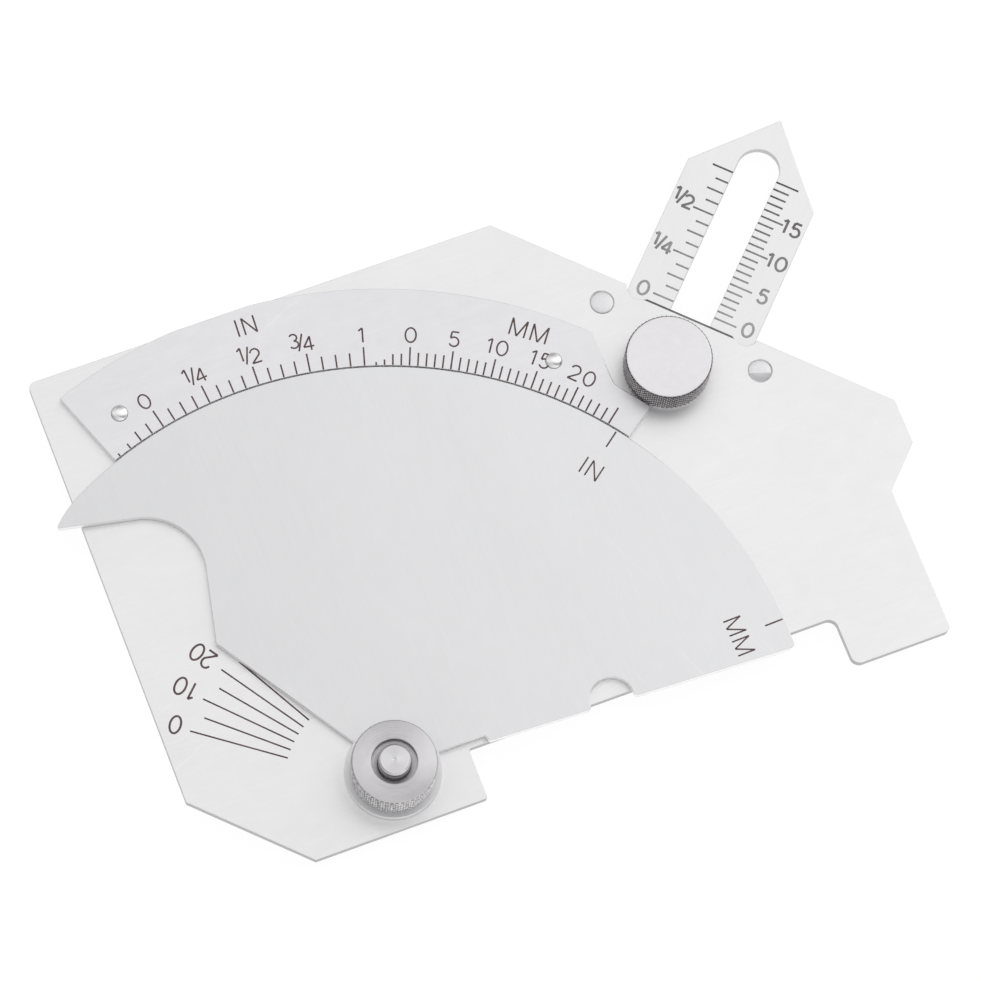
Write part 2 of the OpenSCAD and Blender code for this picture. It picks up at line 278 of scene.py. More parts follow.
@dataclass(frozen=True)
class SatinSteel:
    """Ground stainless sheet: fine grain one way, faint clouds and smudges, a few hairlines.

    Its walls take a colour of painted shading set per part, painted light where pale and painted shade where
    dark, and a sweep makes it paler along +X.
    """

    name: str
    colour: Colour
    wall_colour: Colour
    roughness: float = 0.42
    grain_turn: float = 0.0
    grain_tone: float = 0.05
    cloud_tone: float = 0.05
    smudge_tone: float = 0.03
    sweep: float = 0.0

    GRAIN = ((0.09, 7.0, 0.5), 3.0)
    FINE = ((0.4, 16.0, 1.0), 1.0)
    CLOUD = ((0.05, 0.08, 0.05), 3.0)
    SMUDGE = ((0.45, 0.6, 0.45), 4.0)
    HAIRLINE = ((0.05, 5.0, 0.3), 1.0)
    HAIRLINE_TURN = 24.0
    HAIRLINE_FROM = 0.74
    HAIRLINE_GAIN = 9.0
    HAIRLINE_TONE = 0.05
    HAIRLINE_POLISH = 0.08
    WALL_POLISH = 0.06
    FINE_ROUGHNESS = 0.10
    GRAIN_RELIEF = 0.6
    FINE_RELIEF = 0.4
    DEPTH = 0.004
    SWEEP_LENGTH = 100.0

    def material(self) -> bpy.types.Material:
        """Makes the material.

        Returns:
            The material.
        """
        material, s = new_shader(self.name)
        place = s.place(self.grain_turn)
        grain = s.noise(place, *self.GRAIN)
        fine = s.noise(place, *self.FINE)
        cloud = s.noise(place, *self.CLOUD)
        smudge = s.noise(place, *self.SMUDGE)
        scratch = s.noise(s.place(self.grain_turn + self.HAIRLINE_TURN), *self.HAIRLINE)
        hairline = ((scratch - self.HAIRLINE_FROM) * self.HAIRLINE_GAIN).clamp()
        wall = s.upright()
        stain = cloud.swing(self.cloud_tone) + smudge.swing(self.smudge_tone)
        across = s.axis(s.place(), 0) / self.SWEEP_LENGTH
        tone = 1.0 + grain.swing(self.grain_tone) + stain + hairline * self.HAIRLINE_TONE
        matt = self.roughness + fine.swing(self.FINE_ROUGHNESS)
        # On walls the colour turns to the part's painted wall shading: painted light where pale, painted
        # shade where dark
        s.surface(
            Base_Color=s.tone(s.blend(wall, self.colour, self.wall_colour), tone + across * self.sweep),
            Metallic=1.0,
            Roughness=matt - wall * self.WALL_POLISH - hairline * self.HAIRLINE_POLISH,
            Normal=s.bump(grain * self.GRAIN_RELIEF + fine * self.FINE_RELIEF, self.DEPTH),
        )
        return material


@dataclass(frozen=True)
class TurnedSteel:
    """Lathe-turned steel: concentric tool marks about an axis."""

    name: str
    colour: Colour
    centre: Vector
    mark_depth: float
    roughness: float = 0.22
    mark_pitch: float = 0.08

    FEED = 5.0
    FEED_DETAIL = 3.0
    FEED_TONE = 0.08
    FEED_ROUGHNESS = 0.16
    FEED_RELIEF = 0.4
    MARK_RELIEF = 0.6
    MARK_WANDER = 5.0
    SMUDGE = ((0.9, 0.9, 0.9), 4.0)
    SMUDGE_TONE = 0.14
    SMUDGE_ROUGHNESS = 0.06

    def material(self) -> bpy.types.Material:
        """Makes the material.

        Returns:
            The material.
        """
        material, s = new_shader(self.name)
        place = s.place(centre=self.centre)
        flat = s.node("ShaderNodeVectorMath", {"operation": "MULTIPLY"}, {0: place, 1: (1.0, 1.0, 0.0)})
        radius = s.measure("LENGTH", {0: flat.outputs[0]})
        waves = {"W": radius, "Scale": self.FEED, "Detail": self.FEED_DETAIL}
        feed = Value(s, s.node("ShaderNodeTexNoise", {"noise_dimensions": "1D"}, waves).outputs[0])
        turn = radius * (2.0 * math.pi / self.mark_pitch) + feed * self.MARK_WANDER
        marks = turn.sine() * 0.5 + 0.5
        smudge = s.noise(place, *self.SMUDGE)
        tone = 1.0 + feed.swing(self.FEED_TONE) + smudge.swing(self.SMUDGE_TONE)
        matt = self.roughness + feed.swing(self.FEED_ROUGHNESS)
        s.surface(
            Base_Color=s.tone(self.colour, tone),
            Metallic=1.0,
            Roughness=matt + smudge.swing(self.SMUDGE_ROUGHNESS),
            Normal=s.bump(marks * self.MARK_RELIEF + feed * self.FEED_RELIEF, self.mark_depth),
        )
        return material


@dataclass(frozen=True)
class KnurledSteel:
    """Rolled diamond knurl: bright crests over dark grooves, partly dirt and partly painted shade that
    deepens with depth.
    """

    name: str
    crest_colour: Colour
    groove_colour: Colour
    wear: float = 0.8
    roughness: float = 0.32

    WORN = ((2.2, 2.2, 2.2), 3.0)
    CREST_FROM = 0.25
    CREST_GAIN = 1.4
    DIRT_ROUGHNESS = 0.22
    DEPTH = 0.012

    def material(self) -> bpy.types.Material:
        """Makes the material.

        Returns:
            The material.
        """
        material, s = new_shader(self.name)
        mark = s.node("ShaderNodeAttribute", {"attribute_name": KnurlBand.ATTRIBUTE})
        crest = Value(s, mark.outputs["Fac"])
        worn = s.noise(s.place(), *self.WORN)
        share = ((crest - self.CREST_FROM) * self.CREST_GAIN + worn.swing(self.wear)).clamp()
        # Deeper in the knurl the colour goes to the groove colour: partly dirt, partly painted shade
        s.surface(
            Base_Color=s.blend(share, self.groove_colour, self.crest_colour),
            Metallic=1.0,
            Roughness=self.roughness + (1.0 - share) * self.DIRT_ROUGHNESS,
            Normal=s.bump(worn, self.DEPTH),
        )
        return material


@dataclass(frozen=True)
class PolishedSteel:
    """Bright rivet metal with faint handling marks."""

    name: str
    colour: Colour
    roughness: float

    DENTS = ((1.6, 1.6, 1.6), 3.0)
    DENT_TONE = 0.12
    DENT_RELIEF = 0.7
    FINE = ((9.0, 9.0, 9.0), 2.0)
    FINE_ROUGHNESS = 0.16
    FINE_RELIEF = 0.3
    DEPTH = 0.02

    def material(self) -> bpy.types.Material:
        """Makes the material.

        Returns:
            The material.
        """
        material, s = new_shader(self.name)
        place = s.place()
        dents = s.noise(place, *self.DENTS)
        fine = s.noise(place, *self.FINE)
        s.surface(
            Base_Color=s.tone(self.colour, 1.0 + dents.swing(self.DENT_TONE)),
            Metallic=1.0,
            Roughness=self.roughness + fine.swing(self.FINE_ROUGHNESS),
            Normal=s.bump(dents * self.DENT_RELIEF + fine * self.FINE_RELIEF, self.DEPTH),
        )
        return material


@dataclass(frozen=True)
class Etching:
    """Burnt-in marking: dark, matt and a little uneven.

    Between two places along a direction it fades from dark to light.
    """

    name: str
    dark: Colour
    light: Colour
    fade_turn: float = 0.0
    fade_from: float = 0.0
    fade_to: float = 0.0

    UNEVEN = ((0.7, 0.7, 0.7), 4.0)
    UNEVEN_FROM = 0.35
    UNEVEN_GAIN = 1.6
    GRIT = ((11.0, 11.0, 11.0), 2.0)
    GRIT_GAIN = 0.7
    GRIT_ROUGHNESS = 0.25
    FADED_GAIN = 0.35
    ROUGHNESS = 0.62
    SPECULAR = 0.3

    def material(self) -> bpy.types.Material:
        """Makes the material.

        Returns:
            The material.
        """
        material, s = new_shader(self.name)
        place = s.place()
        uneven = s.noise(place, *self.UNEVEN)
        grit = s.noise(place, *self.GRIT)
        share = (uneven - self.UNEVEN_FROM) * self.UNEVEN_GAIN + grit.swing(self.GRIT_GAIN)
        if self.fade_to != self.fade_from:
            along = s.axis(s.place(self.fade_turn), 0)
            share = share * self.FADED_GAIN + (along - self.fade_from) / (self.fade_to - self.fade_from)
        s.surface(
            Base_Color=s.blend(share.clamp(), self.dark, self.light),
            Metallic=0.0,
            Roughness=self.ROUGHNESS + grit.swing(self.GRIT_ROUGHNESS),
            Specular_IOR_Level=self.SPECULAR,
        )
        return material


Finish = SatinSteel | TurnedSteel | KnurledSteel | PolishedSteel | Etching


# Building


def polar(centre: Vector, radius: float, angle: float) -> Vector:
    """Point at a distance from a centre, at an angle from +X in degrees."""
    return centre + radius * Vector((math.cos(math.radians(angle)), math.sin(math.radians(angle))))


def split(
    bm: bmesh.types.BMesh, faces: Sequence[bmesh.types.BMFace], at: Vector, across: Vector
) -> list[bmesh.types.BMEdge]:
    """Splits faces along a plane.

    Args:
        bm: Mesh of the faces.
        faces: The faces.
        at: Point of the plane.
        across: Normal of the plane.

    Returns:
        The edges along the plane.
    """
    geom = list(dict.fromkeys(part for face in faces for part in (face, *face.edges, *face.verts)))
    made = bmesh.ops.bisect_plane(bm, geom=geom, dist=SNAP, plane_co=at, plane_no=across)
    return [part for part in made["geom_cut"] if isinstance(part, bmesh.types.BMEdge)]


@dataclass
class Workshop:
    """Publishes pieces: makes their objects, gives them finishes and ties them to bodies."""

    nodes: dict[str, bpy.types.Object]
    materials: dict[str, bpy.types.Material] = field(default_factory=dict)

    def finish(self, finish: Finish) -> bpy.types.Material:
        """Material of a finish, made once.

        Args:
            finish: The finish.

        Returns:
            Its material.
        """
        if finish.name not in self.materials:
            self.materials[finish.name] = finish.material()
        return self.materials[finish.name]

    def publish(
        self,
        bm: bmesh.types.BMesh,
        name: str,
        body: Body,
        finishes: Sequence[Finish],
        replaces: Sequence[str] = (),
    ) -> bpy.types.Object:
        """Turns a mesh in millimetres into a piece of the gauge.

        Args:
            bm: The mesh, which is freed.
            name: Name of the piece.
            body: Body that it rides on.
            finishes: Finishes by the faces' material number.
            replaces: CAD nodes that it stands for.

        Returns:
            The piece.
        """
        bmesh.ops.scale(bm, vec=(MM, MM, MM), verts=bm.verts)
        mesh = bpy.data.meshes.new(name)
        bm.to_mesh(mesh)
        bm.free()
        for finish in finishes:
            mesh.materials.append(self.finish(finish))
        piece = bpy.data.objects.new(name, mesh)
        bpy.context.scene.collection.objects.link(piece)
        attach(piece, body.value)
        if replaces:
            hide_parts(*replaces)
        LOG.info("%s on %s: %d faces", name, body.value, len(mesh.polygons))
        return piece


@dataclass(frozen=True)
class Lip:
    """Milled chamfer along one straight upper edge, with the second finish of its part.

    The edge is found by its distance from the origin along a direction.
    """

    turn: float
    distance: float
    face: float
    width: float
    finish: Finish

    NEAR = 0.02
    LEVEL = 0.01
    SLACK = 1e-3

    def depth(self, point: Vector) -> float:
        """How far below the face the chamfer runs at a point, negative where it has not begun."""
        return polar(ORIGIN, 1.0, self.turn).dot(point.xy) - self.distance + self.width

    def level(self, point: Vector) -> bool:
        """Whether a point is as high as the face."""
        return abs(point.z - self.face) < self.LEVEL

    def mill(self, bm: bmesh.types.BMesh) -> None:
        """Cuts the chamfer and marks its faces.

        Args:
            bm: Mesh of the part.
        """
        across = polar(ORIGIN, 1.0, self.turn).to_3d()
        tops = [f for f in bm.faces if f.normal.z > FLAT and self.level(f.verts[0].co)]
        split(bm, tops, across * (self.distance - self.width), across)
        for face in bm.faces:
            depths = [self.depth(v.co) for v in face.verts]
            inside = min(depths) > -self.SLACK and all(self.level(v.co) for v in face.verts)
            if inside and any(abs(depth - self.width) < self.NEAR for depth in depths):
                face.material_index = 1
        for vert in {v for f in bm.faces if f.material_index == 1 for v in f.verts}:
            vert.co.z -= max(0.0, self.depth(vert.co))


@dataclass
class SheetPart:
    """A flat part, copied from its solid with its edges broken."""

    node: str
    body: Body
    slot: Slot
    finish: Finish
    lip: Lip | None = None
    edge: float = 0.06
    flat_angle: float = 0.4
    sharp_angle: float = 46.0

    def build(self, shop: Workshop) -> bpy.types.Object:
        """Builds the part.

        Args:
            shop: Workshop that publishes it.

        Returns:
            The piece.
        """
        flat, sharp = math.radians(self.flat_angle), math.radians(self.sharp_angle)
        bm = bmesh.new()
        bm.from_mesh(shop.nodes[self.node].data)
        bmesh.ops.scale(bm, vec=(1 / MM,) * 3, verts=bm.verts)
        bmesh.ops.remove_doubles(bm, verts=bm.verts, dist=WELD)
        bmesh.ops.dissolve_limit(bm, angle_limit=flat, verts=bm.verts, edges=bm.edges)
        finishes = [self.finish]
        if self.lip:
            self.lip.mill(bm)
            finishes.append(self.lip.finish)
        bm.normal_update()
        bmesh.ops.bevel(
            bm,
            geom=[e for e in bm.edges if e.is_manifold and e.calc_face_angle() > sharp],
            offset=self.edge,
            offset_type="OFFSET",
            segments=2,
            profile=0.5,
            affect="EDGES",
            material=-1,
            clamp_overlap=False,
        )
        bm.normal_update()
        for face in bm.faces:
            face.smooth = abs(face.normal.z) < FLAT
        return shop.publish(bm, f"{self.node}_sheet", self.body, finishes, [self.node])


@dataclass
class KnurlBand:
    """Diamond knurl on a turned part, and the darker rim above it where it has one."""

    ATTRIBUTE = "knurl_crest"

    radius: float
    low: float
    high: float
    count: int
    depth: float
    rim: float = 0.0
    rim_crest: float = 0.3
    rows_per_diamond: int = 8
    diamond_shape: float = 1.25
    crest_gain: float = 1.35
    margin: float = 0.1

    def pitch(self) -> float:
        """Width of a diamond round the part."""
        return 2.0 * math.pi * self.radius / self.count

    def steps(self) -> int:
        """Steps of the spin that the knurl needs."""
        return self.count * self.rows_per_diamond

    def side(self) -> Points:
        """Points that a profile needs along the knurl, from low to high."""
        rows = round((self.high - self.low) / self.pitch() * self.rows_per_diamond)
        return [(self.radius, self.high + (self.low - self.high) * i / rows) for i in range(rows, -1, -1)]

    def covers(self, point: Vector) -> bool:
        """Whether a face with this middle has the knurl's finish."""
        outside = math.hypot(point.x, point.y) > self.radius - self.rim - self.margin
        return outside and self.low < point.z < self.high + self.rim

    def crest(self, angle: float, height: float) -> float:
        """Height of the knurl at a place on the band.

        Args:
            angle: Polar angle in radians.
            height: Height along the axis.

        Returns:
            0 in a groove, 1 on a crest.
        """
        turn = angle / (2.0 * math.pi) * self.count
        climb = (height - self.low) / self.pitch() / self.diamond_shape
        ridges = [1.0 - abs(2.0 * (x % 1.0) - 1.0) for x in (turn + climb, turn - climb)]
        return min(1.0, self.crest_gain * min(ridges))

    def roll(self, bm: bmesh.types.BMesh) -> None:
        """Presses the knurl into a turned mesh about the Z axis and marks its crests.

        Args:
            bm: Mesh with rings at the knurl's heights.
        """
        layer = bm.verts.layers.float.new(self.ATTRIBUTE)
        for vert in bm.verts:
            radius, z = math.hypot(vert.co.x, vert.co.y), vert.co.z
            vert[layer] = 1.0
            if self.high < z <= self.high + self.rim and radius > self.radius - 2.0 * self.rim:
                vert[layer] = self.rim_crest
            if abs(radius - self.radius) < WELD and self.low - WELD <= z <= self.high + WELD:
                crest = self.crest(math.atan2(vert.co.y, vert.co.x), z)
                vert[layer] = crest
                scale = (self.radius - self.depth * (1.0 - crest)) / radius
                vert.co.x *= scale
                vert.co.y *= scale


@dataclass(frozen=True)
class Facet:
    """Flat that leans off one side of a turned part's top, from a line beside its axis outwards."""

    turn: float
    start: float
    slope: float
    above: float

    def cut(self, bm: bmesh.types.BMesh) -> None:
        """Cuts the flat.

        Args:
            bm: Mesh of the part, about the Z axis.
        """
        across = polar(ORIGIN, 1.0, self.turn).to_3d()
        tops = [f for f in bm.faces if all(v.co.z > self.above for v in f.verts)]
        for edge in split(bm, tops, across * self.start, across):
            edge.smooth = False
        for vert in bm.verts:
            if vert.co.z > self.above:
                vert.co.z -= max(0.0, self.slope * (across.dot(vert.co) - self.start))


@dataclass
class TurnedPart:
    """A part turned on a lathe: a profile of radius and height, spun about its axis."""

    name: str
    node: str
    body: Body
    slot: Slot
    centre: Vector
    profile: Points
    finish: Finish
    steps: int
    knurl: KnurlBand | None = None
    knurl_finish: Finish | None = None
    facet: Facet | None = None
    crease: float = 28.0

    def build(self, shop: Workshop) -> bpy.types.Object:
        """Builds the part.

        Args:
            shop: Workshop that publishes it.

        Returns:
            The piece.
        """
        bm = bmesh.new()
        verts = [bm.verts.new((r, 0.0, z)) for r, z in self.profile]
        edges = [bm.edges.new(pair) for pair in zip(verts, verts[1:])]
        bmesh.ops.spin(
            bm,
            geom=verts + edges,
            cent=(0, 0, 0),
            axis=(0, 0, 1),
            angle=2.0 * math.pi,
            steps=self.steps,
            use_merge=True,
            use_duplicate=False,
        )
        bmesh.ops.remove_doubles(bm, verts=bm.verts, dist=WELD)
        bmesh.ops.recalc_face_normals(bm, faces=bm.faces)
        if self.knurl:
            for face in bm.faces:
                face.material_index = int(self.knurl.covers(face.calc_center_median()))
            self.knurl.roll(bm)
        for face in bm.faces:
            face.smooth = face.material_index == 0
        for edge in bm.edges:
            edge.smooth = not (edge.is_manifold and edge.calc_face_angle() > math.radians(self.crease))
        if self.facet:
            self.facet.cut(bm)
        bmesh.ops.translate(bm, vec=self.centre.to_3d(), verts=bm.verts)
        finishes = [finish for finish in (self.finish, self.knurl_finish) if finish]
        return shop.publish(bm, self.name, self.body, finishes, [self.node])


# Engraving


@dataclass(frozen=True)
class Stroke:
    """One engraved line through points on a face."""

    points: list[Vector]
    width: float
    closed: bool = False


def arc(x: float, y: float, rx: float, ry: float, start: float, end: float, count: int = 14) -> Points:
    """Points on a part of an ellipse.

    Args:
        x: Centre.
        y: Centre.
        rx: Half width.
        ry: Half height.
        start: First angle in degrees.
        end: Last angle in degrees.
        count: Number of steps.

    Returns:
        The points.
    """
    angles = [math.radians(start + (end - start) * i / count) for i in range(count + 1)]
    return [(x + rx * math.cos(a), y + ry * math.sin(a)) for a in angles]


class StrokeFont:
    """Single-stroke figures and letters of unit height, centred on the origin."""

    WIDTHS = {"0": 0.70, "1": 0.26, "2": 0.64, "5": 0.60, "I": 0.0, "N": 0.66, "M": 0.84}
    GAP = 0.36

    # A fraction's signs: where each stands along and across the label, and its size
    OVER = (-0.47, 0.16, 0.95)
    BAR = (-0.05, 0.0, 1.0)
    UNDER = (0.46, -0.16, 0.95)

    @staticmethod
    def stroke(sign: str) -> tuple[Points, bool]:
        """Stroke of one sign.

        Args:
            sign: The sign.

        Returns:
            Its points, and whether they close.
        """
        bowl = (0.0, -0.18, 0.31, 0.32)
        shapes = {
            "0": (arc(0, 0, 0.35, 0.5, 90, 435, 23), True),
            "1": ([(-0.16, 0.30), (0.09, 0.5), (0.09, -0.5)], False),
            "2": (arc(0.0, 0.19, 0.31, 0.31, 165, -35) + [(-0.33, -0.5), (0.34, -0.5)], False),
            "3": (arc(0, 0.26, 0.26, 0.24, 150, -90) + arc(0, -0.24, 0.30, 0.26, 90, -150)[1:], False),
            "4": ([(0.14, -0.5), (0.14, 0.5), (-0.36, -0.22), (0.36, -0.22)], False),
            "5": ([(0.27, 0.5), (-0.19, 0.5), (-0.25, 0.06)] + arc(*bowl, 128, -152), False),
            "6": ([(0.2, 0.5)] + arc(*bowl, 140, 500, 22), False),
            "/": ([(-0.19, -0.58), (0.19, 0.58)], False),
            "I": ([(0, -0.5), (0, 0.5)], False),
            "N": ([(-0.33, -0.5), (-0.33, 0.5), (0.33, -0.5), (0.33, 0.5)], False),
            "M": ([(-0.42, -0.5), (-0.42, 0.5), (0, -0.5), (0.42, 0.5), (0.42, -0.5)], False),
        }
        return shapes[sign]


@dataclass(frozen=True)
class Lettering:
    """Where a label's middle stands, which way it reads in degrees, and its height, stroke and squeeze.

    A pitch is the distance between signs in heights; without one they stand by their widths.
    """

    middle: Vector
    turn: float
    height: float
    stroke: float
    squeeze: float = 1.0
    pitch: float = 0.0

    def point(self, x: float, y: float) -> Vector:
        """Place on the face of a point in heights along and across the label."""
        right = polar(ORIGIN, 1.0, self.turn)
        return self.middle + self.height * (x * self.squeeze * right + y * Vector((-right.y, right.x)))


@dataclass
class Engraving:
    """Marks on one flat face, made as one thin piece."""

    name: str
    body: Body
    slot: Slot
    finish: Etching
    face: float
    strokes: list[Stroke] = field(default_factory=list)

    FLATTEN = 0.08
    CORNER = 40.0

    def pieces(self, points: list[Vector]) -> list[list[Vector]]:
        """Splits a line of points at its sharp corners, where one bent stroke would get thin.

        Args:
            points: The line.

        Returns:
            Lines without sharp corners.
        """
        lines = [points[:2]]
        for a, b, c in zip(points, points[1:], points[2:]):
            if (b - a).angle(c - b) > math.radians(self.CORNER):
                lines.append([b])
            lines[-1].append(c)
        return lines

    def line(self, a: Vector, b: Vector, width: float) -> None:
        """Adds a straight mark from a to b."""
        self.strokes.append(Stroke([a, b], width))

    def sign(self, sign: str, at: Lettering, x: float, y: float = 0.0, size: float = 1.0) -> None:
        """Adds one sign of a label.

        Args:
            sign: The sign.
            at: Lettering that it belongs to.
            x: Its middle along the label, in heights.
            y: Its middle across the label, in heights.
            size: Its size as a share of the height.
        """
        points, closed = StrokeFont.stroke(sign)
        placed = [at.point(x + size * px, y + size * py) for px, py in points]
        parts = [placed] if closed else self.pieces(placed)
        self.strokes += [Stroke(part, at.stroke, closed) for part in parts]

    def label(self, text: str, at: Lettering) -> None:
        """Adds a number, a heading or a fraction.

        Args:
            text: The text.
            at: Its place and size.
        """
        if "/" in text:
            over, under = text.split("/")
            for sign, place in ((over, StrokeFont.OVER), ("/", StrokeFont.BAR), (under, StrokeFont.UNDER)):
                self.sign(sign, at, *place)
        elif at.pitch:
            for i, sign in enumerate(text):
                self.sign(sign, at, at.pitch * (i - (len(text) - 1) / 2.0))
        else:
            widths = [StrokeFont.WIDTHS[c] for c in text]
            x = -(sum(widths) + StrokeFont.GAP * (len(text) - 1)) / 2.0
            for sign, width in zip(text, widths):
                self.sign(sign, at, x + width / 2.0)
                x += width + StrokeFont.GAP

    def build(self, shop: Workshop) -> bpy.types.Object:
        """Builds the marks.

        Args:
            shop: Workshop that publishes them.

        Returns:
            The piece.
        """
        curve = bpy.data.curves.new(self.name, "CURVE")
        curve.dimensions = "3D"
        curve.bevel_depth = 1.0
        curve.bevel_resolution = 2
        curve.use_fill_caps = True
        for stroke in self.strokes:
            spline = curve.splines.new("POLY")
            spline.points.add(len(stroke.points) - 1)
            spline.use_cyclic_u = stroke.closed
            for point, place in zip(spline.points, stroke.points):
                point.co = (place.x, place.y, 0.0, 1.0)
                point.radius = stroke.width / 2.0
        pen = bpy.data.objects.new(f"{self.name}_pen", curve)
        bpy.context.scene.collection.objects.link(pen)
        drawn = pen.evaluated_get(bpy.context.evaluated_depsgraph_get())
        mesh = bpy.data.meshes.new_from_object(drawn)
        bm = bmesh.new()
        bm.from_mesh(mesh)
        bpy.data.objects.remove(pen)
        bpy.data.curves.remove(curve)
        bpy.data.meshes.remove(mesh)
        bmesh.ops.remove_doubles(bm, verts=bm.verts, dist=WELD)
        bmesh.ops.recalc_face_normals(bm, faces=bm.faces)
        bmesh.ops.scale(bm, vec=(1.0, 1.0, self.FLATTEN), verts=bm.verts)
        bmesh.ops.translate(bm, vec=(0.0, 0.0, self.face), verts=bm.verts)
        for face in bm.faces:
            face.smooth = True
            face.material_index = 0
        return shop.publish(bm, self.name, self.body, [self.finish])


# Places and finishes of this gauge

PIVOT = Vector((-24.4803, -27.9803))
SCREW = Vector((25.6922, 8.6922))
SLIDE_CORNER = Vector((50.8197, 33.8197))

# Wall colours are painted light and shade: the pale one lights the walls of the band, cam and keeper, the
# dark ones shade the walls of the plate and slide
PAINTED_WALL_LIGHT = (0.97, 0.97, 0.97)
PAINTED_PLATE_WALL_SHADE = (0.45, 0.445, 0.45)
PAINTED_SLIDE_WALL_SHADE = (0.55, 0.545, 0.55)
# The notch chamfer is real; its dark colour is painted shade, standing in for the shadow of the plate's edge
# on the slide
PAINTED_NOTCH_SHADE = (0.17, 0.163, 0.166)
PLATE_STEEL = SatinSteel("satin_plate", (0.795, 0.793, 0.80), PAINTED_PLATE_WALL_SHADE, cloud_tone=0.07, smudge_tone=0.05)
BAND_STEEL = SatinSteel("satin_band", (0.74, 0.732, 0.746), PAINTED_WALL_LIGHT, smudge_tone=0.08)
CAM_STEEL = SatinSteel("satin_cam", (0.74, 0.74, 0.75), PAINTED_WALL_LIGHT, roughness=0.44, grain_turn=90.0, sweep=0.1)
SLIDE_STEEL = SatinSteel("satin_slide", (0.782, 0.78, 0.787), PAINTED_SLIDE_WALL_SHADE, grain_turn=45.0)
KEEPER_STEEL = SatinSteel("satin_keeper", (0.74, 0.74, 0.745), PAINTED_WALL_LIGHT, grain_turn=-45.0)
SHADED_NOTCH_STEEL = SatinSteel("milled_notch_painted_shade", PAINTED_NOTCH_SHADE, PAINTED_NOTCH_SHADE, roughness=0.5, grain_turn=-45.0, grain_tone=0.4)
NUT_STEEL = TurnedSteel("turned_nut", (0.56, 0.548, 0.56), PIVOT, mark_depth=0.0105)
STUD_STEEL = TurnedSteel("turned_stud", (0.60, 0.59, 0.60), PIVOT, mark_depth=0.007)
KNOB_STEEL = TurnedSteel("turned_knob", (0.69, 0.677, 0.69), SCREW, mark_depth=0.0025, roughness=0.32)
# The knurls' dark groove colours are partly dirt and partly painted shade
NUT_KNURL = KnurledSteel("knurled_nut", (0.88, 0.87, 0.88), (0.2, 0.19, 0.195), wear=1.7)
KNOB_KNURL = KnurledSteel("knurled_knob", (0.66, 0.63, 0.64), (0.02, 0.016, 0.018))
RIVET_STEEL = PolishedSteel("polished_rivet", (0.80, 0.80, 0.81), roughness=0.16)
FLUSH_STEEL = PolishedSteel("flush_rivet", (0.66, 0.66, 0.67), roughness=0.3)
BURNT = Etching("burnt_marks", (0.10, 0.066, 0.066), (0.19, 0.14, 0.14))
GREY = Etching("grey_marks", (0.065, 0.055, 0.058), (0.43, 0.42, 0.43), 45.0, fade_from=54.0, fade_to=31.0)


# Sub-assemblies


@dataclass
class MainPlate:
    """Main plate with its angle scale.

    Labels hold the distance from the scale's centre and the turn off the line, and the last one repeats.
    """

    face: float = 3.5
    scale_at: tuple[float, float] = (-25.68, -29.23)
    zero_a: float = 143.7
    step: int = 5
    long_every: int = 10
    last: int = 60
    inner_r: float = 12.45
    long_r: float = 24.7
    short_r: float = 23.6
    labels: Offsets = ((26.62, -0.6), (27.02, -0.6), (27.51, -0.12))
    label_h: float = 2.2
    label_w: float = 0.27
    label_squeeze: float = 0.86
    label_pitch: float = 0.877
    line_w: float = 0.2
    notch_turn: float = 45.0
    notch_at: float = 31.813
    notch_lip: float = 0.42

    def build(self, shop: Workshop) -> None:
        """Builds the plate and its marks.

        Args:
            shop: Workshop that publishes them.
        """
        # The chamfer along the notch takes the dark painted shade
        lip = Lip(self.notch_turn, self.notch_at, self.face, self.notch_lip, SHADED_NOTCH_STEEL)
        SheetPart("main_plate", Body.PLATE, Slot.PLATE, PLATE_STEEL, lip).build(shop)
        centre = Vector(self.scale_at)
        marks = Engraving("angle_scale", Body.PLATE, Slot.PLATE, BURNT, self.face)
        for degrees in range(0, self.last + 1, self.step):
            angle = self.zero_a - degrees
            number, rest = divmod(degrees, self.long_every)
            reach = self.short_r if rest else self.long_r
            marks.line(polar(centre, self.inner_r, angle), polar(centre, reach, angle), self.line_w)
            if not rest:
                out, turn = self.labels[min(number, len(self.labels) - 1)]
                place = polar(centre, out, angle + turn)
                at = Lettering(place, angle, self.label_h, self.label_w, self.label_squeeze, self.label_pitch)
                marks.label(str(degrees), at)
        marks.build(shop)


